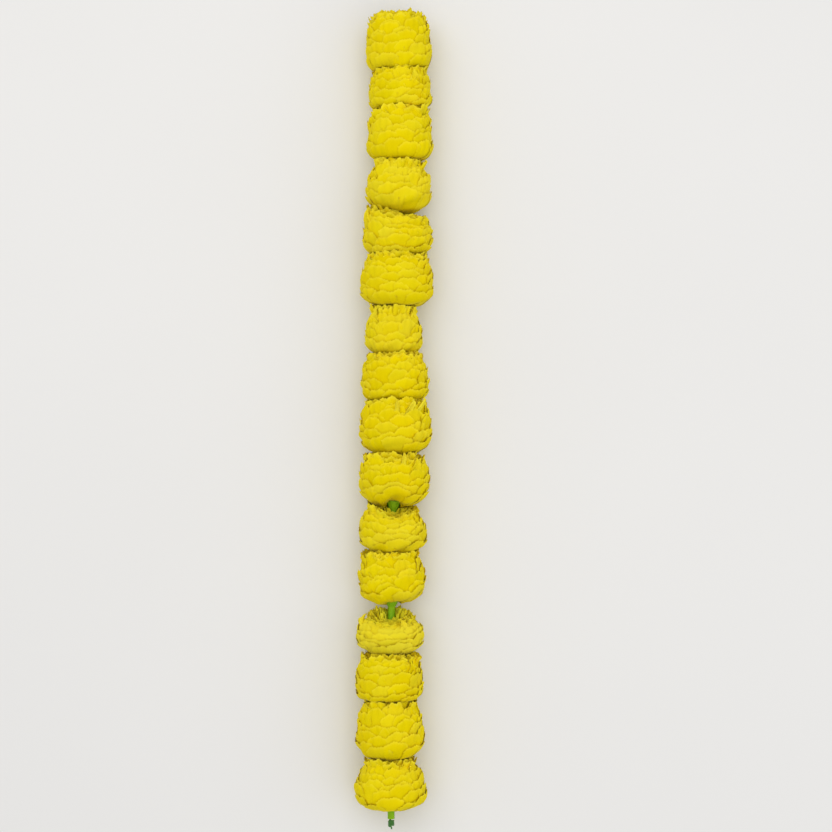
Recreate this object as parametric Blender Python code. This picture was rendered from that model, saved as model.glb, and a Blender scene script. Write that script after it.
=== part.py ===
"""An artificial marigold garland strand: pom-pom heads threaded on a green cord, lying on a flat surface.

Metres, +Z up. The strand runs along Y, and the end that hangs uppermost is at +Y. Every head is a cup of outer
petal layers, filled with ruffled inner layers, on a green moulded calyx whose stem tube takes the cord. The surface
is z = 0, and the origin is under the middle of the strand.
"""

import math
from typing import NamedTuple

import bmesh
import bpy
from mathutils import Matrix, Vector

MM = 0.001


class Head(NamedTuple):
    """One head, in millimetres: how wide and tall it is, how far it sits to +X, and the gap under it."""

    width: float
    height: float
    side: float
    gap: float


# From the head that hangs uppermost to the lowest.
HEADS = (
    Head(60.0, 45.5, 3.6, 0.6),
    Head(58.0, 35.5, 5.0, 0.6),
    Head(60.0, 45.5, 4.6, 3.6),
    Head(60.0, 45.5, 3.6, 1.4),
    Head(64.5, 39.0, 2.6, 0.6),
    Head(67.0, 43.6, 1.8, 5.9),
    Head(53.6, 41.0, -1.0, 0.6),
    Head(62.0, 41.8, 0.4, 2.3),
    Head(67.0, 46.4, 0.6, 3.2),
    Head(66.0, 43.6, -0.6, 0.9),
    Head(62.7, 41.8, -2.0, 2.7),
    Head(62.0, 43.6, -2.4, 10.5),
    Head(63.6, 37.3, -4.4, 1.4),
    Head(62.7, 40.0, -5.0, 1.8),
    Head(62.7, 51.0, -4.2, 2.7),
    Head(65.5, 43.6, -3.6, 0.0),
)

PETAL_SIDES = 16
CALYX_SIDES = 10
PETAL_BORE = 4.8 * MM
PETAL_GAP = 0.5 * MM
FLATTENED = 1.4 * MM
RIM_SCALLOP = 0.9 * MM
# How deep the calyx sits in the dimple under the cup, and how deep the top of a head is dished.
DIMPLE_DEPTH = 3.2 * MM
DIMPLE_RADIUS = 8.0 * MM
DISH_DEPTH = 3.5 * MM

CALYX_RADIUS = 7.0 * MM
STEM_RADIUS = 3.0 * MM
TAIL_RADIUS = 2.7 * MM
CORD_BORE = 1.7 * MM
STEM_TOP = 0.70
TAIL_INTO_NEXT = 5.0 * MM
LAST_TAIL = 8.0 * MM

CORD_RADIUS = 0.75 * MM
CORD_CLEARANCE = 0.35 * MM
KNOT_SIDES = 10
KNOT_RADIUS = 3.3 * MM
KNOT_LENGTH = 7.5 * MM
# How far the upper knot stands off the top of the uppermost head.
TOP_KNOT_RISE = 1.5 * MM

PETAL_YELLOW = (0.75, 0.60, 0.004, 1.0)
CUP_YELLOW = (0.78, 0.63, 0.004, 1.0)
CALYX_GREEN = (0.10, 0.33, 0.01, 1.0)
CORD_GREEN = (0.05, 0.20, 0.03, 1.0)


def material(name, color, roughness):
    """A plain Principled material."""
    made = bpy.data.materials.new(name)
    made.use_nodes = True
    shader = made.node_tree.nodes["Principled BSDF"]
    shader.inputs["Base Color"].default_value = color
    shader.inputs["Roughness"].default_value = roughness
    shader.inputs["Metallic"].default_value = 0.0
    return made


def smooth_route(points, per_span):
    """Points on a Catmull-Rom curve through the given ones, per_span of them to each span."""
    first, last = 2 * points[0] - points[1], 2 * points[-1] - points[-2]
    padded = [first, *points, last]
    route = []
    for a, b, c, d in zip(padded, padded[1:], padded[2:], padded[3:]):
        for step in range(per_span):
            t = step / per_span
            route.append(
                0.5
                * (
                    2 * b
                    + (c - a) * t
                    + (2 * a - 5 * b + 4 * c - d) * t**2
                    + (3 * b - a - 3 * c + d) * t**3
                )
            )
    return [*route, points[-1]]


def head_centres():
    """The middle of each head, on the cord. The cord's height changes slowly from head to head."""
    heights = [h.width / 2 * MM - FLATTENED for h in HEADS]
    for _ in range(2):
        padded = [heights[0], *heights, heights[-1]]
        heights = [(a + 2 * b + c) / 4 for a, b, c in zip(padded, padded[1:], padded[2:])]
    centres = []
    along = 0.0
    for head, height in zip(HEADS, heights):
        along -= head.height / 2 * MM
        centres.append(Vector((head.side * MM, along, height)))
        along -= (head.height / 2 + head.gap) * MM
    return centres


def head_frames(centres):
    """Each head's local frame: +Z up the cord, at the middle of the head's underside."""
    frames = []
    for i, (head, centre) in enumerate(zip(HEADS, centres)):
        above = centres[max(i - 1, 0)]
        below = centres[min(i + 1, len(centres) - 1)]
        axis = (above - below).normalized()
        turn = Vector((0.0, 0.0, 1.0)).rotation_difference(axis).to_matrix().to_4x4()
        frames.append(Matrix.Translation(centre - axis * (head.height / 2 * MM)) @ turn)
    return frames


def turned(name, outline, sides, frame, finish, scallops=None):
    """A closed body turned about its local Z from a closed outline of (radius, height) points.

    scallops gives, for some of the outline's points, how much lower every second side of that ring is.
    """
    bm = bmesh.new()
    rings = []
    for number, (radius, height) in enumerate(outline):
        drop = (scallops or {}).get(number, 0.0)
        ring = []
        for side in range(sides):
            angle = math.tau * (side + 0.5) / sides
            low = drop * (side % 2)
            ring.append(bm.verts.new((radius * math.cos(angle), radius * math.sin(angle), height - low)))
        rings.append(ring)
    for ring, following in zip(rings, [*rings[1:], rings[0]]):
        for side in range(sides):
            after = (side + 1) % sides
            bm.faces.new((ring[side], ring[after], following[after], following[side]))
    bmesh.ops.recalc_face_normals(bm, faces=bm.faces)
    return placed(name, bm, frame, finish)


def placed(name, bm, frame, finish):
    """An object from bm, smooth shaded, in the given frame."""
    mesh = bpy.data.meshes.new(name)
    bm.to_mesh(mesh)
    bm.free()
    mesh.shade_smooth()
    mesh.set_sharp_from_angle(angle=math.radians(50))
    mesh.materials.append(finish)
    made = bpy.data.objects.new(name, mesh)
    made.matrix_world = frame
    bpy.context.scene.collection.objects.link(made)
    return made


def flatten_underneath(obj):
    """Cuts off what would be below the surface that the strand lies on, which leaves a flat patch."""
    bm = bmesh.new()
    bm.from_mesh(obj.data)
    to_local = obj.matrix_world.inverted()
    cut = bmesh.ops.bisect_plane(
        bm,
        geom=[*bm.verts, *bm.edges, *bm.faces],
        dist=1e-6,
        plane_co=to_local @ Vector((0.0, 0.0, 0.0)),
        plane_no=to_local.to_3x3() @ Vector((0.0, 0.0, -1.0)),
        clear_outer=True,
    )
    edges = [e for e in cut["geom_cut"] if isinstance(e, bmesh.types.BMEdge)]
    if edges:
        bmesh.ops.holes_fill(bm, edges=edges, sides=0)
        bmesh.ops.recalc_face_normals(bm, faces=bm.faces)
    bm.to_mesh(obj.data)
    bm.free()


def outer_petals(name, head, frame, finish):
    """The cup of outer petal layers, with a dimple underneath for the calyx and a scalloped rim."""
    r, h = head.width / 2 * MM, head.height * MM
    outline = (
        (PETAL_BORE, DIMPLE_DEPTH),
        (DIMPLE_RADIUS, 0.4 * MM),
        (0.50 * r, 0.035 * h),
        (0.77 * r, 0.15 * h),
        (0.94 * r, 0.34 * h),
        (r, 0.57 * h),
        (0.98 * r, 0.78 * h),
        (0.91 * r, 0.95 * h),
        (0.79 * r, 0.93 * h),
        (0.79 * r, 0.60 * h),
        (0.62 * r, 0.36 * h),
        (PETAL_BORE, 0.22 * h),
    )
    made = turned(name, outline, PETAL_SIDES, frame, finish, {7: RIM_SCALLOP * 2, 8: RIM_SCALLOP})
    flatten_underneath(made)
    return made


def inner_petals(name, head, frame, finish):
    """The ruffled layers inside the cup, dished at the top where the next head's calyx sits."""
    r, h = head.width / 2 * MM, head.height * MM
    inside = 0.79 * r - 2 * PETAL_GAP
    outline = (
        (PETAL_BORE, 0.22 * h + 2 * PETAL_GAP),
        (0.62 * r - PETAL_GAP, 0.36 * h + 2 * PETAL_GAP),
        (inside, 0.60 * h + PETAL_GAP),
        (inside, 0.93 * h),
        (0.66 * r, h),
        (0.34 * r, h - 0.6 * MM),
        (PETAL_BORE, h - DISH_DEPTH),
    )
    return turned(name, outline, PETAL_SIDES, frame, finish, {3: RIM_SCALLOP, 4: RIM_SCALLOP})


def calyx(name, head, frame, tail, finish):
    """The green calyx: a cone under the cup, a stem tube up through the head and a tail tube below it."""
    top = STEM_TOP * head.height * MM
    outline = (
        (CORD_BORE, -tail),
        (TAIL_RADIUS, -tail),
        (TAIL_RADIUS, -2.4 * MM),
        (3.6 * MM, -1.5 * MM),
        (CALYX_RADIUS, -0.2 * MM),
        (CALYX_RADIUS, 0.5 * MM),
        (STEM_RADIUS, 3.3 * MM),
        (STEM_RADIUS, top),
        (CORD_BORE, top),
    )
    return turned(name, outline, CALYX_SIDES, frame, finish)


def knot(name, start, axis, finish):
    """A knot's outer shape from start along axis: a small barrel, waisted where its two turns meet."""
    half = KNOT_LENGTH / 2
    rings = ((0.45, -1.0), (0.85, -0.78), (1.0, -0.42), (0.88, 0.0), (1.0, 0.42), (0.85, 0.78), (0.45, 1.0))
    bm = bmesh.new()
    loops = []
    for share, place in rings:
        loop = []
        for side in range(KNOT_SIDES):
            angle = math.tau * side / KNOT_SIDES
            reach = KNOT_RADIUS * share
            loop.append(bm.verts.new((reach * math.cos(angle), reach * math.sin(angle), half * place)))
        loops.append(loop)
    for loop, following in zip(loops, loops[1:]):
        for side in range(KNOT_SIDES):
            after = (side + 1) % KNOT_SIDES
            bm.faces.new((loop[side], loop[after], following[after], following[side]))
    bm.faces.new(loops[0])
    bm.faces.new(loops[-1])
    bmesh.ops.recalc_face_normals(bm, faces=bm.faces)
    turn = Vector((0.0, 0.0, 1.0)).rotation_difference(axis).to_matrix().to_4x4()
    return placed(name, bm, Matrix.Translation(start + axis * half) @ turn, finish)


def cord(name, route, finish):
    """A round cord along the route, as a curve with a bevel and filled caps."""
    curve = bpy.data.curves.new(name, "CURVE")
    curve.dimensions = "3D"
    curve.bevel_depth = CORD_RADIUS
    curve.bevel_resolution = 2
    curve.use_fill_caps = True
    curve.render_resolution_u = 0
    spline = curve.splines.new("POLY")
    spline.points.add(len(route) - 1)
    for point, place in zip(spline.points, route):
        point.co = (*place, 1.0)
    curve.materials.append(finish)
    made = bpy.data.objects.new(name, curve)
    bpy.context.scene.collection.objects.link(made)
    return made


def build_heads(frames):
    """All the heads, each on its calyx."""
    cup = material("cup_petals", CUP_YELLOW, 0.85)
    ruffle = material("ruffled_petals", PETAL_YELLOW, 0.9)
    plastic = material("calyx_plastic", CALYX_GREEN, 0.4)
    made = []
    for number, (head, frame) in enumerate(zip(HEADS, frames), 1):
        last = number == len(HEADS)
        tail = LAST_TAIL if last else head.gap * MM + TAIL_INTO_NEXT
        prefix = f"head_{number:02d}"
        made += [
            outer_petals(f"{prefix}_outer_petals", head, frame, cup),
            inner_petals(f"{prefix}_inner_petals", head, frame, ruffle),
            calyx(f"{prefix}_calyx", head, frame, tail, plastic),
        ]
    return made


def build_cord(frames):
    """The stringing cord, with a stopper knot at each end."""
    green = material("green_cord", CORD_GREEN, 0.8)
    up = [frame.to_3x3() @ Vector((0.0, 0.0, 1.0)) for frame in frames]
    lower_knot = frames[-1].translation - up[-1] * (LAST_TAIL + CORD_CLEARANCE)
    upper_knot = frames[0].translation + up[0] * (HEADS[0].height * MM + TOP_KNOT_RISE)
    threaded = []
    for head, frame, axis in zip(reversed(HEADS), reversed(frames), reversed(up)):
        threaded += [frame.translation.copy(), frame.translation + axis * (STEM_TOP * head.height * MM)]
    lower_end = lower_knot + up[-1] * CORD_CLEARANCE
    upper_end = upper_knot - up[0] * CORD_CLEARANCE
    return [
        cord("stringing_cord", smooth_route([lower_end, *threaded, upper_end], 2), green),
        knot("bottom_knot", lower_knot, -up[-1], green),
        knot("top_knot", upper_knot, up[0], green),
    ]


def world_box(objects):
    """The lowest and highest corners of the objects, as they are evaluated."""
    graph = bpy.context.evaluated_depsgraph_get()
    corners = []
    for obj in objects:
        shown = obj.evaluated_get(graph)
        mesh = shown.to_mesh()
        corners += [shown.matrix_world @ v.co for v in mesh.vertices]
        shown.to_mesh_clear()
    low = Vector(min(c[k] for c in corners) for k in range(3))
    high = Vector(max(c[k] for c in corners) for k in range(3))
    return low, high


def main():
    for obj in list(bpy.data.objects):
        bpy.data.objects.remove(obj, do_unlink=True)
    centres = head_centres()
    frames = head_frames(centres)
    pieces = build_heads(frames) + build_cord(frames)
    bpy.context.view_layer.update()
    low, high = world_box(pieces)
    strand = bpy.data.objects.new("strand", None)
    bpy.context.scene.collection.objects.link(strand)
    for obj in pieces:
        obj.parent = strand
    strand.location = (-(low.x + high.x) / 2, -(low.y + high.y) / 2, -low.z)


main()
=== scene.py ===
"""The looks of an artificial marigold garland strand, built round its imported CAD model.

Every head gets overlapping fabric petals with pinked edges in place of its plain CAD cup and filling, and
a ribbed moulded calyx. The knots are wound from twisted cord. Metres, in the row frame: the strand lies along
Y with the end that hangs uppermost at +Y, and +Z is up, towards the camera.
"""

import math
from typing import NamedTuple

import bpy
import numpy as np
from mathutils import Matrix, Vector


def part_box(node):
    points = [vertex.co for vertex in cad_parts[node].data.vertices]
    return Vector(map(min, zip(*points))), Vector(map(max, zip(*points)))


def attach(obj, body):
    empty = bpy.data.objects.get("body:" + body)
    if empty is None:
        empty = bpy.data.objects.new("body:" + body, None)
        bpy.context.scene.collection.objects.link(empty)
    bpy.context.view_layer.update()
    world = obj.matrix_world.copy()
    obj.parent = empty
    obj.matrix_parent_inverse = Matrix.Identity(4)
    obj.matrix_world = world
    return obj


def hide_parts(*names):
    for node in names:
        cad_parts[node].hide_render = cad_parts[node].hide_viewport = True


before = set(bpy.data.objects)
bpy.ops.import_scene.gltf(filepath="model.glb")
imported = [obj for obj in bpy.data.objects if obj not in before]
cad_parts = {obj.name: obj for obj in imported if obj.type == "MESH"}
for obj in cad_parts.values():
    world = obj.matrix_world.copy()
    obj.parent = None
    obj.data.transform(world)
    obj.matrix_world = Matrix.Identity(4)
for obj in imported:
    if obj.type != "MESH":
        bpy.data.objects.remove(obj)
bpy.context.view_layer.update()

MM = 0.001
BODY = "root"
UP = Vector((0.0, 0.0, 1.0))

# The camera looks straight down. FIELD is the width of what it sees at the height of the cord.
LENS, SENSOR = 85.0, 36.0
FIELD = 765 * MM
AIM = Vector((20.0, 3.7, 30.0)) * MM

# The CAD rings have 16 sides, with the middle of a side on each axis, so their boxes are narrower than their
# radius.
CAD_RING = math.cos(math.pi / 16)
BORE = 4.8 * MM
# How high the rim is, as a share of the head's height.
RIM_HEIGHT = 0.97
SEED = 160

PETAL_THICKNESS = 0.20 * MM
# How far the teeth of a pinked edge stand out, how deep the lobes of a tip are, and how many half waves of
# lobes and of frills go from the middle of a petal to its side.
TOOTH = 0.45 * MM
LOBE = 0.6 * MM
LOBE_WAVES = 2.6
FRILL_WAVES = 3.1
# How far the middle of a petal's tip swells, and how far one side of a petal lies over its neighbour.
BULGE = 0.5 * MM
OVERLAP = 0.26 * MM
# How far the outermost layer lies inside the CAD outline, which leaves room for what stands out from it.
INSET = 0.8 * MM
# A petal's rows lie closer together towards its tip when this is under 1.
ROW_SPREAD = 0.85
# How far in the painted highlight along a petal's tip and sides fades, and how much farther off a side counts
# at the petal's base.
HIGHLIGHT_FADE = 1.3 * MM
SIDE_DELAY = 12 * MM
# How deep the painted shade is where another layer covers a petal, and on the underside, which is this share
# of the side.
COVERED_SHADE = 0.25
UNDER_SHADE = 0.3
UNDER_SHARE = 0.34
# How far up the side the single tips start, how far inside the outer surface, and their rows and columns.
TIP_START = 0.66
TIP_DEPTH = 1.7 * MM
TIP_GRID = (12, 15)

# How deep the dents of a head are, and in millimetres its pleats, which deepen towards the stem.
DENT = 0.20 * MM
PLEAT = 0.05
GATHERED_PLEAT = 0.13
GATHER = 16 * MM
# The dip in a head's top, as shares of its radius, and the lift of its underside round the stem.
DIP_WIDTH, DIP_START = 0.55, 0.25
LIFT_WIDTH, LIFT_START = 9.0 * MM, 4.0 * MM
# Over what height a petal bends along the head above, and how thick the stack pressed on the surface is.
NEIGHBOUR_MARGIN = 0.8 * MM
FLOOR_STACK = 1.6 * MM

CORD_DIAMETER = 1.5 * MM
# The twisted cord's plies, the length of one turn of them, and the sides and length of one ring of its mesh.
PLIES, PITCH = 3, 4.2 * MM
CORD_SIDES, CORD_STEP = 15, 0.32 * MM
# A knot: wraps of cord round the strands that pass through it, and the short end that sticks out.
KNOT_WRAPS = 4
POINTS_PER_WRAP = 10
KNOT_REACH = 2.35 * MM
KNOT_HALF = 3.0 * MM
KNOT_END = 5.0 * MM


class Look(NamedTuple):
    """How a head is shaped and dressed. Lengths in millimetres, angles in degrees, the rest as shares."""

    belly: float  # where up the head it is widest
    mouth: float  # the rim's radius, as a share of the widest
    square: float  # how square its sides are: 2 is an ellipse
    frill: float  # how far the ragged tips stand above the rim
    ragged: float  # how uneven the tips are
    roll: float  # how far it is turned in the picture, anticlockwise
    slant: float  # how much lower its rim is at the right than in the middle
    dip: float  # how much lower its top is at the front
    lift: float  # how much higher its underside is at the front
    pale: float


# From the head that hangs uppermost to the lowest.
LOOKS = (
    Look(0.50, 0.95, 4.5, 3.0, 0.3, 0, 0, 0, 0, 0.0),
    Look(0.50, 0.93, 4.0, 4.0, 0.4, 0, 0, 0, 0, 0.0),
    Look(0.50, 0.93, 4.5, 3.0, 0.3, 0, 0, 0, 0, 0.0),
    Look(0.52, 0.80, 2.4, 3.0, 0.5, 0, 0, 0, 0, 0.1),
    Look(0.62, 0.95, 3.0, 3.0, 0.6, 0, 6, 4, 0, 0.05),
    Look(0.50, 0.90, 3.2, 3.0, 0.3, 0, 0, 0, 0, 0.0),
    Look(0.52, 0.82, 2.5, 8.0, 0.5, 0, 0, 0, 0, 0.15),
    Look(0.52, 0.90, 3.2, 3.0, 0.5, 0, 0, 0, 0, 0.0),
    Look(0.60, 0.92, 2.5, 5.0, 0.6, 0, 0, 0, 0, 0.0),
    Look(0.66, 0.93, 2.5, 4.0, 0.5, 0, 0, 0, 7, 0.0),
    Look(0.50, 0.80, 2.4, 3.0, 0.5, 0, 3, 8, 0, 0.15),
    Look(0.55, 0.88, 2.5, 5.0, 0.6, 7, 0, 0, 3, 0.0),
    Look(0.60, 0.70, 2.2, 2.0, 0.4, 0, 0, 7, 0, 0.4),
    Look(0.50, 0.92, 3.6, 3.0, 0.3, 0, 0, 0, 0, 0.0),
    Look(0.50, 0.85, 3.0, 3.0, 0.4, 0, 0, 0, 0, 0.0),
    Look(0.42, 0.74, 2.8, 3.0, 0.5, 0, 0, 0, 0, 0.05),
)


class Layer(NamedTuple):
    """One ring of petals. Shares are of the side's length; lengths in millimetres."""

    count: int
    start: float  # where up the side its petals' bases are
    tip: float  # where their tips are
    depth: float  # how far inside the outer surface it lies
    rows: int


CUP_LAYERS = (
    Layer(11, 0.02, 0.53, 0.0, 13),
    Layer(12, 0.30, 0.68, 0.5, 10),
    Layer(13, 0.45, 0.80, 1.0, 10),
    Layer(14, 0.57, 0.91, 1.6, 10),
    Layer(13, 0.68, 1.02, 2.2, 10),
)
PETAL_COLUMNS = 21
# A petal's width, as a share of its place in the ring.
PETAL_SPREAD = 1.5


class Tip(NamedTuple):
    """A single petal tip that stands out from the rest, at the rim. Millimetres and degrees."""

    head: int
    turn: float  # how far round to the right of the front
    reach: float  # how far past the rim
    width: float
    lean: float  # to the right
    out: float
    curl: float  # positive to the stem, in turns of a radian for every metre
    # how much paler; at 0.6 on the standing tips of heads 9 and 10 it is a painted highlight
    pale: float


TIPS = (
    Tip(2, 28, 0, 16, 3, 2.6, 0, 0.3),
    Tip(5, -60, 2, 16, -12, 2.8, 10, 0.2),
    Tip(7, -48, 5, 16, -5, 3.2, 10, 0.25),
    Tip(7, 52, 7, 17, 5, 3.2, 10, 0.25),
    # The paleness of 0.6 on these standing tips of heads 9 and 10 is a painted highlight.
    Tip(9, 2, 6, 6, 3, 5.0, 0, 0.6),
    Tip(9, 17, 7, 7, 30, 5.0, 0, 0.6),
    Tip(9, 35, 9, 7, 40, 5.0, 0, 0.6),
    Tip(10, 14, 9, 7, 6, 5.0, 0, 0.6),
    Tip(10, 34, 4, 12, 15, 4.0, 0, 0.15),
    Tip(13, -78, 2, 16, -20, 4.0, -20, 0.1),
    Tip(13, 30, 5, 10, 0, 4.0, 0, 0.1),
    Tip(14, 45, 0, 14, 0, 2.6, 0, 0.0),
)


class Ruffle(NamedTuple):
    """One ring of petals that stand up inside the cup. Shares of the mouth's radius and the head's height."""

    count: int
    radius: float
    foot: float
    top: float
    lean: float  # how far its tips lean outwards, in millimetres


RUFFLES = (
    Ruffle(14, 0.82, 0.66, 1.03, 3.0),
    Ruffle(13, 0.71, 0.70, 1.07, 3.8),
    Ruffle(12, 0.60, 0.72, 1.10, 4.2),
    Ruffle(11, 0.49, 0.74, 1.12, 4.2),
    Ruffle(9, 0.38, 0.75, 1.13, 3.8),
    Ruffle(7, 0.28, 0.76, 1.13, 3.0),
    Ruffle(5, 0.19, 0.78, 1.12, 1.8),
)
# A filling petal's width, as a share of its place in the ring, and how near to the axis it may be.
RUFFLE_SPREAD = 1.45
RUFFLE_BORE = 5.4 * MM
RUFFLE_ROWS, RUFFLE_COLUMNS = 8, 15
# How deep its folds and its tip's lobes are, how uneven its height is in millimetres, and how late it leans.
RUFFLE_FOLD = 1.1 * MM
RUFFLE_LOBE = 1.2 * MM
RUFFLE_UNEVEN = 1.2
RUFFLE_CURVE = 2.4
# How deep the painted shade is at its foot, down in the cup, and how much paler the middle of the head is.
RUFFLE_FOOT_SHADE = 0.45
CENTRE_PALENESS = 0.45


class Head(NamedTuple):
    """Where a head is: the middle of its underside, its own directions, its radius and its height."""

    base: Vector
    right: Vector
    front: Vector
    axis: Vector
    radius: float
    height: float
    look: Look
    foot: Vector  # where the stem leaves the head
    stem: Vector  # the direction up the cord


def read_heads():
    """Every head's place and size, from the boxes of its CAD nodes."""
    measured = []
    for number in range(1, len(LOOKS) + 1):
        low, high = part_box(f"head_{number:02d}_outer_petals")
        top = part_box(f"head_{number:02d}_inner_petals")[1].y
        half = (high.x - low.x) / 2
        centre = Vector(((low.x + high.x) / 2, (low.y + top) / 2, high.z - half))
        measured.append((centre, half / CAD_RING, top - low.y))
    heads = []
    for i, ((centre, radius, height), look) in enumerate(zip(measured, LOOKS)):
        above = measured[max(i - 1, 0)][0]
        below = measured[min(i + 1, len(measured) - 1)][0]
        axis = (above - below).normalized()
        front = (UP - axis * UP.dot(axis)).normalized()
        right = axis.cross(front)
        roll = math.radians(look.roll)
        turned_axis = axis * math.cos(roll) - right * math.sin(roll)
        turned_right = right * math.cos(roll) + axis * math.sin(roll)
        base = centre - turned_axis * (height / 2)
        foot = centre - axis * (height / 2)
        heads.append(Head(base, turned_right, front, turned_axis, radius, height, look, foot, axis))
    return heads


def smooth_step(x):
    """0 below 0, 1 above 1 and smooth between."""
    x = np.clip(x, 0.0, 1.0)
    return x * x * (3.0 - 2.0 * x)


class Side:
    """The outline of a head's side from the bore, round the belly, to the rim, by its length."""

    SAMPLES = 160
    LOW_SAMPLES, HIGH_SAMPLES = 90, 60
    SMOOTHED = 9

    def __init__(self, head):
        look, r, h = head.look, head.radius, head.height
        turn = np.linspace(0.0, math.pi / 2, self.LOW_SAMPLES)
        power = 2.0 / look.square
        belly, mouth = look.belly * h, look.mouth * r
        low_r, low_z = r * np.sin(turn) ** power, belly * (1.0 - np.cos(turn) ** power)
        rise = np.linspace(0.0, 1.0, self.HIGH_SAMPLES)
        high_r = r - (r - mouth) * rise**look.square
        high_z = belly + (h * RIM_HEIGHT - belly) * rise
        radii = np.concatenate((low_r, high_r[1:]))
        heights = np.concatenate((low_z, high_z[1:]))
        keep = (radii > BORE) | (heights > belly)
        radii, heights = radii[keep], heights[keep]
        steps = np.hypot(np.diff(radii), np.diff(heights))
        along = np.concatenate(((0.0,), np.cumsum(steps)))
        self.length = along[-1]
        self.along = np.linspace(0.0, self.length, self.SAMPLES)
        self.radii = np.interp(self.along, along, radii)
        self.heights = np.interp(self.along, along, heights)
        slope = np.unwrap(np.arctan2(np.gradient(self.heights), np.gradient(self.radii)))
        padded = np.pad(slope, self.SMOOTHED // 2, mode="edge")
        self.slope = np.convolve(padded, np.ones(self.SMOOTHED) / self.SMOOTHED, mode="valid")
        self.under = (low_r, low_z)

    def at(self, along, curl):
        """Radius, height and slope at that length. Past the rim it goes on at the given curvature."""
        inside = np.minimum(along, self.length)
        past = np.maximum(along - self.length, 0.0)
        radius = np.interp(inside, self.along, self.radii)
        height = np.interp(inside, self.along, self.heights)
        slope = np.interp(inside, self.along, self.slope)
        curl = np.where(np.abs(curl) < 1e-3, 1e-3, curl)
        end = slope + curl * past
        radius = radius + (np.sin(end) - np.sin(slope)) / curl
        height = height - (np.cos(end) - np.cos(slope)) / curl
        return radius, height, end


class Relief:
    """A head's own dents and pleats. All its layers share them, so that they dent together."""

    DENTS, PLEATS = 6, 3

    def __init__(self, rng):
        self.dents = []
        for _ in range(self.DENTS):
            round_head = int(rng.integers(2, 8))
            up_side = math.tau / (rng.uniform(13, 30) * MM)
            self.dents.append((round_head, up_side, rng.uniform(0, math.tau)))
        self.pleats = [(int(rng.integers(24, 46)), rng.uniform(0, math.tau)) for _ in range(self.PLEATS)]

    def at(self, angle, along):
        """How far the cloth stands out there. The pleats are deepest where they are gathered at the stem."""
        dents = sum(np.sin(k * angle + rate * along + phase) for k, rate, phase in self.dents)
        pleats = sum(np.sin(k * angle + phase) for k, phase in self.pleats)
        gathered = np.exp(-along / GATHER)
        return DENT * dents + (PLEAT + GATHERED_PLEAT * gathered) * MM * pleats


def in_world(head, angle, radius, height):
    """World points from a head's own turned coordinates. Angle 0 is to the right, a quarter turn in front."""
    right, front, axis, base = (np.array(v) for v in (head.right, head.front, head.axis, head.base))
    sideways = (radius * np.cos(angle))[..., None] * right
    forwards = (radius * np.sin(angle))[..., None] * front
    return base + sideways + forwards + height[..., None] * axis


def part_front(head, angle, radius, height):
    """Slants the rim, lowers the top at the front, and raises the underside there, where the stem shows."""
    look = head.look
    share = np.clip(height / head.height, 0.0, 1.3)
    sideways, forwards = radius * np.cos(angle), radius * np.sin(angle)
    dip = np.exp(-((sideways / (DIP_WIDTH * head.radius)) ** 2))
    dip = dip * smooth_step(forwards / (DIP_START * head.radius))
    lift = np.exp(-((sideways / LIFT_WIDTH) ** 2)) * smooth_step(forwards / LIFT_START)
    lowered = (look.dip * dip + look.slant * sideways / head.radius) * share**2
    return height + MM * (look.lift * lift * np.clip(1.0 - share, 0.0, 1.0) ** 1.5 - lowered)


def keep_under(points, above, side_above, margin):
    """Bends points down along the plain outline of the head above.

    The outline leaves out that head's waves, dents and lift, so petals can still cross there.
    """
    if above is None:
        return points
    base, axis = np.array(above.base), np.array(above.axis)
    from_base = points - base
    height = from_base @ axis
    radius = np.linalg.norm(from_base - height[..., None] * axis, axis=-1)
    under = np.interp(radius, *side_above.under, right=1.0)
    over = height - (under - margin)
    bent = margin * (1.0 - np.exp(-np.maximum(over, 0.0) / margin))
    return points + np.where(over > 0.0, bent - over, 0.0)[..., None] * axis


def keep_above_floor(points):
    """Presses what would be near or below the surface into a thin stack on it, in the same order."""
    low = points[..., 2] < FLOOR_STACK
    pressed = FLOOR_STACK * np.exp(np.minimum(points[..., 2] - FLOOR_STACK, 0.0) / FLOOR_STACK)
    points[..., 2] = np.where(low, pressed, points[..., 2])
    return points


def linked(name, data):
    """An object of that name and data, put in the scene."""
    made = bpy.data.objects.new(name, data)
    bpy.context.scene.collection.objects.link(made)
    return made


def as_piece(mesh, crease, finish):
    """A piece of the strand from that mesh, smooth but for creases sharper than that many degrees."""
    mesh.shade_smooth()
    mesh.set_sharp_from_angle(angle=math.radians(crease))
    mesh.materials.append(finish)
    made = linked(mesh.name, mesh)
    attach(made, BODY)
    return made


def grid_normals(points):
    """Unit normals of grids of points: (count, rows, columns, 3)."""
    across = np.gradient(points, axis=2)
    along = np.gradient(points, axis=1)
    normals = np.cross(across, along)
    return normals / np.maximum(np.linalg.norm(normals, axis=-1, keepdims=True), 1e-12)


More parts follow.
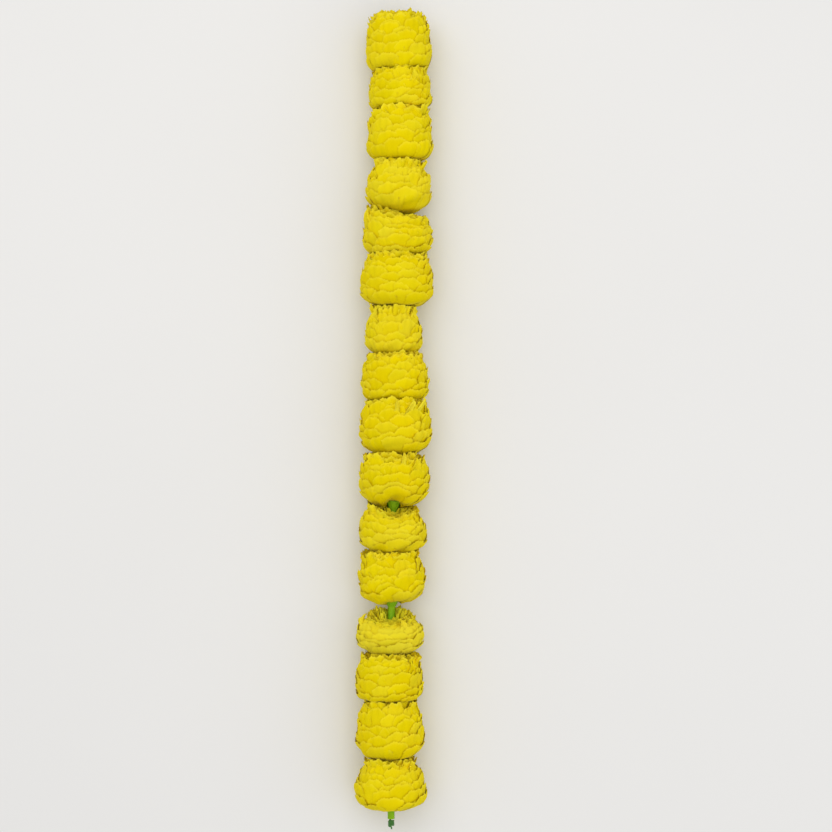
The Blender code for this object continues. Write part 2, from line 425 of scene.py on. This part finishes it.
class Sheets:
    """Collects thin closed petals, each from a grid of points, and makes them one mesh."""

    def __init__(self):
        self.verts, self.faces, self.tints, self.cloth, self.cells = [], [], [], [], []
        self.total = 0

    def add(self, points, tint, cloth, fit):
        """Petals from (count, rows, columns, 3) points. Their two sides meet at a thin edge all round.

        tint and cloth are the grids' colours and cloth coordinates. fit bends points away from the head above
        and from the surface.
        """
        count, rows, columns, _ = points.shape
        offset = grid_normals(points) * (PETAL_THICKNESS / 2)
        edge = np.zeros((rows, columns), bool)
        edge[0], edge[-1], edge[:, 0], edge[:, -1] = True, True, True, True
        offset[:, edge] = 0.0
        front, back = fit(points + offset), fit(points - offset)
        inner = ~edge
        face_front = np.arange(rows * columns).reshape(rows, columns)
        face_back = face_front.copy()
        face_back[inner] = rows * columns + np.arange(inner.sum())
        per = rows * columns + int(inner.sum())
        quads = []
        for ids, order in ((face_front, (0, 1, 2, 3)), (face_back, (0, 3, 2, 1))):
            corners = (ids[:-1, :-1], ids[:-1, 1:], ids[1:, 1:], ids[1:, :-1])
            quads.append(np.stack([corners[k].ravel() for k in order], -1))
        place = np.stack(np.meshgrid(np.linspace(0, 1, columns), np.linspace(0, 1, rows)), -1)
        cell = []
        for order in ((0, 1, 2, 3), (0, 3, 2, 1)):
            corners = (place[:-1, :-1], place[:-1, 1:], place[1:, 1:], place[1:, :-1])
            cell.append(np.stack([corners[k].reshape(-1, 2) for k in order], 1))
        for one in range(count):
            self.verts += [front[one].reshape(-1, 3), back[one][inner]]
            self.tints += [tint[one].reshape(-1, 4), tint[one][inner]]
            self.cloth += [cloth[one].reshape(-1, 2), cloth[one][inner]]
            self.faces += [quads[0] + self.total, quads[1] + self.total]
            self.cells += cell
            self.total += per

    def piece(self, name, finish):
        """The collected petals as one piece, with its colours, its cloth map and its bake map."""
        verts, faces = np.concatenate(self.verts), np.concatenate(self.faces)
        mesh = bpy.data.meshes.new(name)
        mesh.from_pydata(verts, [], faces)
        tint = mesh.color_attributes.new("tint", "FLOAT_COLOR", "POINT")
        tint.data.foreach_set("color", np.concatenate(self.tints).astype(np.float32).ravel())
        across = math.ceil(math.sqrt(len(self.cells)))
        placed = []
        for number, cell in enumerate(self.cells):
            corner = np.array((number % across, number // across))
            placed.append((corner + 0.06 + 0.88 * cell) / across)
        bake = mesh.uv_layers.new(name="OFBake")
        bake.data.foreach_set("uv", np.concatenate(placed).astype(np.float32).ravel())
        weave = mesh.uv_layers.new(name="cloth")
        weave.data.foreach_set("uv", np.concatenate(self.cloth)[faces.ravel()].astype(np.float32).ravel())
        return as_piece(mesh, 100, finish)


def painted_edge_highlight(rows, columns, width, length):
    """The mask of a painted highlight: 1 at a petal's tip and sides, and 0 a little way in, for grids of that
    width and length in metres.
    """
    u = np.linspace(-1, 1, columns)[None, None, :]
    v = np.linspace(0, 1, rows)[None, :, None]
    from_tip = (1.0 - v) * length[:, None, None]
    from_side = (1.0 - np.abs(u)) * width[:, None, None]
    near = np.minimum(from_tip, from_side + SIDE_DELAY * (1 - v))
    return np.exp(-near / HIGHLIGHT_FADE)


def tooth_line(rng, count, points):
    """How far the points along pinked edges stand out or in, from about -1 to 1."""
    return np.where(np.arange(points) % 2 == 0, 1.0, -1.0) * rng.uniform(0.5, 1.2, (count, points))


PETAL_PROPERTIES = (
    "place",
    "half",
    "taper",
    "start",
    "end",
    "round_off",
    "point",
    "curl",
    "twist",
    "flare",
    "wave",
    "pale",
)


def cup_petals(sheets, rng, head, side, relief, fit, petals, grid, depth):
    """Adds petals that follow the cup's side. petals holds one array per property, with a number a petal."""
    look = head.look
    rows, columns = grid
    count = len(petals["place"])
    place, half, taper, start, end, round_off, point, curl, twist, flare, wave, pale = (
        petals[key].reshape(count, 1, 1) for key in PETAL_PROPERTIES
    )
    u = np.linspace(-1.0, 1.0, columns)[None, None, :]
    v = (np.linspace(0.0, 1.0, rows) ** ROW_SPREAD)[None, :, None]
    along = start + (end - round_off * np.abs(u) ** point - start) * v
    along = along + LOBE * v**4 * np.sin(math.pi * LOBE_WAVES * u + rng.uniform(0, math.tau, (count, 1, 1)))
    along[:, -1, :] += TOOTH * tooth_line(rng, count, columns)
    radius, height, slope = side.at(along, curl)
    angle = place + u * half * (1.0 - taper * v**2) + twist * (v - 0.5)
    cut = TOOTH / head.radius * smooth_step(v[0, :, 0] * 3 - 0.8)
    angle[:, :, 0] -= cut * tooth_line(rng, count, rows)
    angle[:, :, -1] += cut * tooth_line(rng, count, rows)
    near_tip = smooth_step((v - 0.5) / 0.5)
    phase = rng.uniform(0, math.tau, (count, 1, 1))
    frills = wave * near_tip * (1.0 + np.sin(math.pi * FRILL_WAVES * u + phase)) * 0.5
    bulge = BULGE * (1.0 - u**2) * near_tip * rng.uniform(0.2, 1.0, (count, 1, 1))
    overlap = OVERLAP * u
    out = relief.at(angle, along) + overlap + frills + bulge + flare * near_tip**2 - depth - INSET
    radius = radius + out * np.sin(slope)
    height = height - out * np.cos(slope)
    height = part_front(head, angle, radius, height)
    points = in_world(head, angle, radius, height)
    width = half.ravel() * head.radius
    tint = np.ones((count, rows, columns, 4))
    # R: the mask of a painted highlight along the petal's tip and sides.
    tint[..., 0] = painted_edge_highlight(rows, columns, width, (end - start).ravel())
    # G: painted shade, darker low on a petal where the layer outside covers it, and on the head's underside.
    covered_shade = COVERED_SHADE * smooth_step((0.6 - v) / 0.4) * (depth > 0)
    under = UNDER_SHADE * smooth_step(1.0 - along / (UNDER_SHARE * side.length))
    tint[..., 1] = np.clip(covered_shade + under, 0.0, 1.0)
    tint[..., 2] = rng.uniform(0.0, 1.0, (count, 1, 1))
    tint[..., 3] = np.clip(look.pale + pale, 0.0, 1.0)
    cloth = np.stack(np.broadcast_arrays(u * width.reshape(count, 1, 1), along), -1)
    sheets.add(points, tint, cloth, fit)


def cup_piece(rng, number, head, side, relief, fit, finish):
    """The outer layers: petals that follow the cup's side, overlap one another and end in ragged tips."""
    look = head.look
    sheets = Sheets()
    for layer in CUP_LAYERS:
        n = layer.count
        tall = look.frill * MM * smooth_step((layer.tip - 0.7) / 0.3)
        stagger = 0.03 * np.where(np.arange(n) % 2 == 0, 1.0, -1.0)
        sway = 0.025 * np.sin(np.arange(n) * math.tau / n + rng.uniform(0, math.tau))
        tips = layer.tip + stagger + sway + rng.normal(0.0, 0.015 + 0.015 * look.ragged, n)
        petals = {
            "place": (np.arange(n) + rng.uniform(-0.15, 0.15, n) + rng.uniform(0, 1)) * math.tau / n,
            "half": math.pi / n * PETAL_SPREAD * rng.uniform(0.9, 1.1, n),
            "taper": np.zeros(n),
            "start": np.full(n, layer.start * side.length),
            "end": tips * side.length + tall * rng.uniform(0.2, 1.2, n),
            "round_off": (0.07 + 0.03 * look.ragged) * side.length * rng.uniform(0.6, 1.4, n),
            "point": rng.uniform(1.9, 3.2, n),
            "curl": rng.normal(0.0, 30.0 + 40.0 * look.ragged, n),
            "twist": rng.normal(0.0, 0.05, n),
            "flare": MM * rng.uniform(0.2, 0.6 + 0.9 * look.ragged, n),
            "wave": MM * (0.4 + 0.7 * look.ragged) * rng.uniform(0.6, 1.3, n),
            "pale": rng.normal(0.0, 0.08, n),
        }
        grid = (layer.rows, PETAL_COLUMNS)
        cup_petals(sheets, rng, head, side, relief, fit, petals, grid, layer.depth * MM)
    for tip in [t for t in TIPS if t.head == number]:
        rim = head.radius * look.mouth
        length = (1.0 - TIP_START) * side.length + tip.reach * MM
        petals = {
            "place": np.array([math.radians(90.0 - tip.turn)]),
            "half": np.array([tip.width * MM / 2 / rim]),
            "taper": np.array([0.5]),
            "start": np.array([TIP_START * side.length]),
            "end": np.array([side.length + tip.reach * MM]),
            "round_off": np.array([0.6 * tip.width * MM]),
            "point": np.array([1.8]),
            "curl": np.array([tip.curl]),
            "twist": np.array([-math.tan(math.radians(tip.lean)) * length / rim]),
            "flare": np.array([tip.out * MM]),
            "wave": np.array([0.9 * MM]),
            "pale": np.array([tip.pale]),
        }
        cup_petals(sheets, rng, head, side, relief, fit, petals, TIP_GRID, TIP_DEPTH)
    made = sheets.piece(f"head_{number:02d}_cup_petals", finish)
    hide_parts(f"head_{number:02d}_outer_petals")


def ruffle_piece(rng, number, head, fit, finish):
    """The filling: rings of crumpled petals that stand up inside the cup round the stem."""
    look = head.look
    sheets = Sheets()
    rows, columns = RUFFLE_ROWS, RUFFLE_COLUMNS
    u = np.linspace(-1.0, 1.0, columns)[None, None, :]
    v = np.linspace(0.0, 1.0, rows)[None, :, None]
    for ring in RUFFLES:
        count = ring.count
        one = (count, 1, 1)
        place = (np.arange(count) + rng.uniform(-0.2, 0.2, count) + rng.uniform(0, 1)) * math.tau / count
        half = (math.pi / count * RUFFLE_SPREAD * rng.uniform(0.85, 1.15, count)).reshape(one)
        low = ring.foot * head.height
        frill = look.frill * MM * rng.uniform(0.2, 1.2, count) * (0.4 + 0.6 * ring.radius)
        top = ring.top * head.height + frill
        top = top + rng.normal(0.0, RUFFLE_UNEVEN, count) * MM
        rounding = rng.uniform(1.5, 4.0, count).reshape(one) * MM
        lobes = RUFFLE_LOBE * np.sin(math.pi * 1.9 * u + rng.uniform(0, math.tau, one))
        reach = top.reshape(one) - rounding * np.abs(u) ** 2.4 + lobes
        height = low + (reach - low) * v
        height[:, -1, :] += TOOTH * tooth_line(rng, count, columns)
        lean = (ring.lean + rng.normal(0.0, 1.0, count).reshape(one)) * MM
        phase = rng.uniform(0, math.tau, count).reshape(one)
        folds = rng.uniform(1.0, 2.2, one)
        ruffles = RUFFLE_FOLD * np.sin(math.pi * folds * u + phase) * smooth_step(v * 1.6)
        radius = ring.radius * head.radius * look.mouth + 0.5 * MM * u + ruffles + lean * v**RUFFLE_CURVE
        radius = np.maximum(radius, RUFFLE_BORE)
        angle = place.reshape(one) + u * half + rng.normal(0.0, 0.08, count).reshape(one) * v
        height = part_front(head, angle, radius, height)
        points = in_world(head, angle, radius, height)
        tint = np.ones((count, rows, columns, 4))
        width = half.ravel() * ring.radius * head.radius
        # R: the mask of a painted highlight along the petal's tip and sides.
        tint[..., 0] = painted_edge_highlight(rows, columns, width, top - low)
        # G: painted shade, darkest at the petal's foot, down in the cup.
        tint[..., 1] = RUFFLE_FOOT_SHADE * (1.0 - v) ** 1.6
        tint[..., 2] = rng.uniform(0.0, 1.0, count).reshape(one)
        centre = CENTRE_PALENESS * smooth_step((0.6 - ring.radius) / 0.4)
        uneven = rng.normal(0.0, 0.08, count).reshape(one)
        tint[..., 3] = np.clip(look.pale + centre + uneven, 0.0, 1.0)
        cloth = np.stack(np.broadcast_arrays(u * width.reshape(one), height), -1)
        sheets.add(points, tint, cloth, fit)
    made = sheets.piece(f"head_{number:02d}_ruffled_petals", finish)
    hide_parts(f"head_{number:02d}_inner_petals")


class Nodes:
    """A short way to write a material's node tree."""

    def __init__(self, name):
        self.material = bpy.data.materials.new(name)
        self.material.use_nodes = True
        self.tree = self.material.node_tree
        self.shader = self.tree.nodes["Principled BSDF"]

    def add(self, kind, settings=None):
        """A node of that kind, with its properties set."""
        node = self.tree.nodes.new(kind)
        for key, value in (settings or {}).items():
            setattr(node, key, value)
        return node

    def put(self, socket, value):
        """Sets a socket to a value, or links an output to it."""
        if isinstance(value, bpy.types.NodeSocket):
            self.tree.links.new(value, socket)
        else:
            socket.default_value = value

    def mix(self, share, first, second):
        """A mix of two colours."""
        node = self.add("ShaderNodeMix", {"data_type": "RGBA"})
        for socket, value in ((node.inputs[0], share), (node.inputs[6], first), (node.inputs[7], second)):
            self.put(socket, value)
        return node.outputs[2]

    def math(self, operation, first, second):
        """What an operation makes of two numbers."""
        node = self.add("ShaderNodeMath", {"operation": operation})
        self.put(node.inputs[0], first)
        self.put(node.inputs[1], second)
        return node.outputs[0]

    def span(self, value, low, high):
        """Spreads a number that runs from 0 to 1 over low to high."""
        node = self.add("ShaderNodeMapRange")
        for place, given in ((0, value), (3, low), (4, high)):
            self.put(node.inputs[place], given)
        return node.outputs[0]

    def noise(self, where, scale, detail=2.0, roughness=0.5):
        """Smooth noise from 0 to 1."""
        node = self.add("ShaderNodeTexNoise", {"noise_dimensions": "3D"})
        for key, value in (("Vector", where), ("Scale", scale), ("Detail", detail), ("Roughness", roughness)):
            self.put(node.inputs[key], value)
        return node.outputs[0]

    def bump(self, height, strength, distance):
        """Gives the surface the relief of that height."""
        node = self.add("ShaderNodeBump")
        node.inputs["Strength"].default_value = strength
        node.inputs["Distance"].default_value = distance
        self.put(node.inputs["Height"], height)
        self.put(self.shader.inputs["Normal"], node.outputs[0])

    def uniform(self, values):
        """Sets the shader's own sockets to values that are the same all over the surface."""
        for key, value in values.items():
            self.shader.inputs[key].default_value = value

    def shifted(self, where):
        """Coordinates moved elsewhere, for noise that doesn't match the rest."""
        node = self.add("ShaderNodeMapping")
        self.put(node.inputs["Vector"], where)
        self.put(node.inputs["Location"], (0.37, 0.11, 0.23))
        return node.outputs[0]

    def stretched(self, where, scale):
        """Coordinates scaled by a different amount along each axis."""
        node = self.add("ShaderNodeMapping")
        self.put(node.inputs["Vector"], where)
        self.put(node.inputs["Scale"], scale)
        return node.outputs[0]


def colour(r, g, b):
    """An opaque colour in linear light."""
    return (r, g, b, 1.0)


def petal_cloth(name, body, shade_colour, edge, pale_colour):
    """Pressed polyester cloth: a fine weave and long streaks, with a painted highlight along the cut edges
    and painted shade in the covered and lower parts.
    """
    n = Nodes(name)
    tint = n.add("ShaderNodeAttribute", {"attribute_name": "tint"})
    parts = n.add("ShaderNodeSeparateColor")
    n.put(parts.inputs[0], tint.outputs["Color"])
    # The tint holds a painted highlight (R), painted shade (G), a random tone for each petal (B) and how pale
    # the petal is (alpha).
    edge_highlight, inside, petal = parts.outputs[0], parts.outputs[1], parts.outputs[2]
    pale = tint.outputs["Alpha"]
    place = n.add("ShaderNodeTexCoord").outputs["Object"]
    cloth = n.add("ShaderNodeUVMap", {"uv_map": "cloth"}).outputs[0]

    # Painted shade: mixes towards a deep orange where the tint's G channel marks it.
    base = n.mix(inside, body, shade_colour)
    mottle = n.noise(place, 45.0, 3.0, 0.6)
    base = n.mix(n.span(mottle, 0.0, 0.55), base, colour(0.88, 0.62, 0.001))
    fresh = n.noise(n.shifted(place), 38.0, 2.0, 0.5)
    base = n.mix(n.span(fresh, -0.25, 0.75), base, colour(0.80, 0.70, 0.001))
    streaks = n.noise(n.stretched(cloth, (900.0, 45.0, 1.0)), 1.0, 3.0, 0.6)
    base = n.mix(n.span(streaks, 0.0, 0.22), base, colour(0.70, 0.58, 0.002))
    # Painted highlight: lighter, creamier colour along the tips and sides.
    base = n.mix(n.math("MULTIPLY", edge_highlight, 0.5), base, edge)
    # Paler where the tint's alpha says; on the standing tips of heads 9 and 10 this is a painted highlight.
    base = n.mix(n.math("MULTIPLY", pale, 0.85), base, pale_colour)
    tone = n.add("ShaderNodeHueSaturation")
    n.put(tone.inputs["Value"], n.span(petal, 0.96, 1.03))
    n.put(tone.inputs["Color"], base)
    n.put(n.shader.inputs["Base Color"], tone.outputs[0])

    n.put(n.shader.inputs["Roughness"], n.span(n.noise(place, 240.0), 0.62, 0.86))
    n.uniform({"Specular IOR Level": 0.02, "Sheen Weight": 0.8, "Sheen Roughness": 0.22})
    n.uniform({"Sheen Tint": colour(1.0, 0.85, 0.13)})

    threads = []
    for axis in ("X", "Y"):
        wave = n.add("ShaderNodeTexWave", {"bands_direction": axis})
        n.put(wave.inputs["Vector"], cloth)
        n.put(wave.inputs["Scale"], 900.0)
        n.put(wave.inputs["Distortion"], 0.6)
        threads.append(wave.outputs["Fac"])
    weave = n.math("ADD", threads[0], threads[1])
    relief = n.math("ADD", n.math("MULTIPLY", weave, 0.35), streaks)
    n.bump(relief, 0.35, 0.15 * MM)
    return n.material


def moulded_plastic(name):
    """Green moulded plastic: slightly cloudy colour, soft gloss and a faint grain."""
    n = Nodes(name)
    place = n.add("ShaderNodeTexCoord").outputs["Object"]
    cloudy = n.noise(place, 160.0, 3.0)
    base = n.mix(cloudy, colour(0.16, 0.42, 0.004), colour(0.34, 0.58, 0.010))
    n.put(n.shader.inputs["Base Color"], base)
    n.put(n.shader.inputs["Roughness"], n.span(n.noise(place, 700.0), 0.42, 0.62))
    n.uniform({"Specular IOR Level": 0.15})
    n.bump(n.noise(place, 1800.0, 2.0), 0.2, 0.1 * MM)
    return n.material


def twisted_cord(name):
    """Green spun cord: fibres, a dull sheen and some colour variation."""
    n = Nodes(name)
    place = n.add("ShaderNodeTexCoord").outputs["Object"]
    fibres = n.noise(n.stretched(place, (2600.0, 900.0, 2600.0)), 1.0, 3.0, 0.65)
    base = n.mix(fibres, colour(0.025, 0.12, 0.018), colour(0.07, 0.27, 0.04))
    n.put(n.shader.inputs["Base Color"], base)
    n.put(n.shader.inputs["Roughness"], n.span(fibres, 0.7, 0.92))
    n.uniform({"Specular IOR Level": 0.25, "Sheen Weight": 0.4, "Sheen Roughness": 0.5})
    n.bump(fibres, 0.5, 0.12 * MM)
    return n.material


def smooth_route(points, per_span):
    """Points on a Catmull-Rom curve through the given ones, per_span of them to each span."""
    first, last = 2 * points[0] - points[1], 2 * points[-1] - points[-2]
    padded = [first, *points, last]
    route = []
    for a, b, c, d in zip(padded, padded[1:], padded[2:], padded[3:]):
        for step in range(per_span):
            t = step / per_span
            bend = (2 * a - 5 * b + 4 * c - d) * t**2 + (3 * b - a - 3 * c + d) * t**3
            route.append(0.5 * (2 * b + (c - a) * t + bend))
    return [*route, points[-1]]


def rope(name, route, finish):
    """A closed twisted cord along the route."""
    sides = CORD_SIDES
    path = np.array(route)
    steps = np.linalg.norm(np.diff(path, axis=0), axis=1)
    length = np.concatenate(((0.0,), np.cumsum(steps)))
    places = np.linspace(0.0, length[-1], int(length[-1] / CORD_STEP))
    path = np.stack([np.interp(places, length, path[:, k]) for k in range(3)], -1)
    tangents = np.gradient(path, axis=0)
    tangents /= np.linalg.norm(tangents, axis=1, keepdims=True)
    normal = np.cross(tangents[0], (0.31, 0.22, 0.92))
    turn = np.arange(sides) * math.tau / sides
    verts = []
    for place, point, tangent in zip(places, path, tangents):
        normal = normal - tangent * normal.dot(tangent)
        normal /= np.linalg.norm(normal)
        other = np.cross(tangent, normal)
        ply = 0.86 + 0.16 * np.cos(PLIES * turn - math.tau * place / PITCH * PLIES)
        reach = CORD_DIAMETER / 2 * ply
        outwards = np.cos(turn)[:, None] * normal + np.sin(turn)[:, None] * other
        verts.append(point + reach[:, None] * outwards)
    rings = len(verts)
    faces = []
    for ring in range(rings - 1):
        this, following = ring * sides, (ring + 1) * sides
        for side in range(sides):
            after = (side + 1) % sides
            faces.append((this + side, this + after, following + after, following + side))
    faces.append(tuple(reversed(range(sides))))
    faces.append(tuple(range((rings - 1) * sides, rings * sides)))
    mesh = bpy.data.meshes.new(name)
    mesh.from_pydata(np.concatenate(verts), [], faces)
    made = as_piece(mesh, 70, finish)
    return made


def box_centre(node):
    """The middle of a CAD node's box."""
    low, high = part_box(node)
    return (low + high) / 2


def add_knot(node, axis, finish):
    """A tight wound knot in place of the plain one, with a short end that sticks out along the axis."""
    centre = box_centre(node)
    front = (UP - axis * UP.dot(axis)).normalized()
    right = axis.cross(front)

    def point(turn, reach, place):
        return centre + right * (reach * math.cos(turn)) + front * (reach * math.sin(turn)) + axis * place

    count = KNOT_WRAPS * POINTS_PER_WRAP
    route = [point(0.3, 0.3 * MM, -KNOT_HALF), point(0.5, 1.4 * MM, -KNOT_HALF * 1.02)]
    for step in range(count + 1):
        place = KNOT_HALF * (2 * step / count - 1) * 0.86
        route.append(point(1.0 + math.tau * step / POINTS_PER_WRAP, KNOT_REACH - 0.1 * MM, place))
    last = 1.0 + math.tau * KNOT_WRAPS
    route.append(point(last + 0.5, KNOT_REACH * 0.8, KNOT_HALF * 0.95))
    route.append(point(last + 0.8, KNOT_REACH * 0.55, KNOT_HALF + 0.4 * KNOT_END))
    made = rope(f"wound_{node}", smooth_route(route, 3), finish)
    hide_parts(node)


def add_cord(heads, finish):
    """The two wound knots, and the finish of the stringing cord."""
    add_knot("top_knot", heads[0].stem, finish)
    add_knot("bottom_knot", -heads[-1].stem, finish)
    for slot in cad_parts["stringing_cord"].material_slots:
        slot.material = finish


def add_calyx(number, head, finish):
    """The moulded calyx: a ribbed cup in the head, a stem tube up through it and a beaded tube below."""
    low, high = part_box(f"head_{number:02d}_calyx")
    tail, top = head.foot.y - low.y, high.y - head.foot.y
    # Radius, height and how deep the ribs are, in millimetres from the head's underside.
    outline = [
        (1.7, -tail / MM, 0.0),
        (2.9, -tail / MM, 0.0),
        (3.3, -tail / MM + 0.4, 0.0),
        (3.3, -tail / MM + 1.2, 0.0),
        (3.1, -tail / MM + 1.7, 0.0),
        (3.2, -2.4, 0.0),
        (3.5, -1.5, 0.05),
        (4.0, -0.9, 0.15),
        (4.4, -0.3, 0.25),
        (4.8, 0.6, 0.3),
        (5.5, 2.2, 0.3),
        (6.4, 4.2, 0.3),
        (7.1, 6.2, 0.2),
        (7.0, 6.8, 0.1),
        (5.0, 7.2, 0.0),
        (3.4, 8.0, 0.0),
        (3.0, top / MM - 1.0, 0.0),
        (2.6, top / MM, 0.0),
        (1.7, top / MM, 0.0),
    ]
    sides, ribs = 40, 10
    turn = np.arange(sides) * math.tau / sides
    side_way, front_way = head.stem.cross(head.front), head.front
    rings = []
    for radius, height, depth in outline:
        reach = (radius - depth + depth * np.cos(ribs * turn)) * MM
        ring = np.array(head.foot) + np.outer(reach * np.cos(turn), side_way)
        ring = ring + np.outer(reach * np.sin(turn), front_way)
        rings.append(ring + np.array(head.stem) * (height * MM))
    faces = []
    for ring in range(len(rings)):
        this, following = ring * sides, (ring + 1) % len(rings) * sides
        for side in range(sides):
            after = (side + 1) % sides
            faces.append((this + side, following + side, following + after, this + after))
    mesh = bpy.data.meshes.new(f"head_{number:02d}_moulded_calyx")
    mesh.from_pydata(np.concatenate(rings), [], faces)
    made = as_piece(mesh, 50, finish)
    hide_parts(f"head_{number:02d}_calyx")


def add_camera():
    """The camera, straight above the strand, with the strand's upper end at the top of the picture."""
    data = bpy.data.cameras.new("camera")
    data.lens, data.sensor_width = LENS, SENSOR
    made = linked("camera", data)
    made.location = AIM + UP * (FIELD * LENS / SENSOR)
    bpy.context.scene.camera = made


def add_light(name, place, target, size, power, tone):
    """A soft square light that faces the target."""
    data = bpy.data.lights.new(name, "AREA")
    data.shape, data.size, data.energy, data.color = "SQUARE", size, power, tone
    made = linked(name, data)
    made.location = place
    made.rotation_euler = (Vector(target) - Vector(place)).to_track_quat("-Z", "Y").to_euler()


def add_studio():
    """A plain pale floor and soft light."""
    n = Nodes("floor_paint")
    place = n.add("ShaderNodeTexCoord").outputs["Object"]
    base = n.mix(n.noise(place, 3.0), colour(0.80, 0.79, 0.77), colour(0.83, 0.82, 0.80))
    n.put(n.shader.inputs["Base Color"], base)
    n.uniform({"Roughness": 0.9, "Specular IOR Level": 0.1})
    mesh = bpy.data.meshes.new("floor")
    reach = 6.0
    corners = [(-reach, -reach, 0), (reach, -reach, 0), (reach, reach, 0), (-reach, reach, 0)]
    mesh.from_pydata(corners, [], [(0, 1, 2, 3)])
    mesh.materials.append(n.material)
    floor = linked("floor", mesh)
    add_light("key", (-0.3, 0.8, 2.0), (0, 0, 0), 2.4, 22.0, (1.0, 0.98, 0.95))
    add_light("fill", (1.2, -0.6, 1.6), (0, 0, 0), 2.0, 7.0, (0.97, 0.98, 1.0))
    world = bpy.data.worlds.new("studio")
    world.use_nodes = True
    background = world.node_tree.nodes["Background"]
    background.inputs["Color"].default_value = colour(0.97, 0.98, 1.0)
    background.inputs["Strength"].default_value = 0.64
    bpy.context.scene.world = world
    bpy.context.scene.view_settings.view_transform = "Standard"


def add_heads(heads):
    """All the heads, each bent along the outline of the one above it."""
    plastic = moulded_plastic("calyx_moulding")
    cup_cloth = petal_cloth(
        "cup_cloth",
        body=colour(0.82, 0.64, 0.0),
        # The colour of the painted shade.
        shade_colour=colour(0.70, 0.33, 0.0),
        # The colour of the painted highlight along the edges.
        edge=colour(0.93, 0.77, 0.035),
        pale_colour=colour(0.88, 0.79, 0.06),
    )
    ruffle_cloth = petal_cloth(
        "ruffle_cloth",
        body=colour(0.90, 0.72, 0.002),
        # The colour of the painted shade.
        shade_colour=colour(0.80, 0.50, 0.0),
        # The colour of the painted highlight along the edges.
        edge=colour(0.96, 0.82, 0.06),
        pale_colour=colour(0.88, 0.88, 0.05),
    )
    sides = [Side(head) for head in heads]
    for i, (head, side) in enumerate(zip(heads, sides)):
        above = heads[i - 1] if i else None
        side_above = sides[i - 1] if i else None

        def fit(points, above=above, side_above=side_above):
            return keep_above_floor(keep_under(points, above, side_above, NEIGHBOUR_MARGIN))

        rng = np.random.default_rng(SEED + i)
        cup_piece(rng, i + 1, head, side, Relief(rng), fit, cup_cloth)
        ruffle_piece(rng, i + 1, head, fit, ruffle_cloth)
        add_calyx(i + 1, head, plastic)


add_camera()
heads = read_heads()
add_cord(heads, twisted_cord("spun_cord"))
add_heads(heads)
add_studio()

bpy.context.view_layer.update()
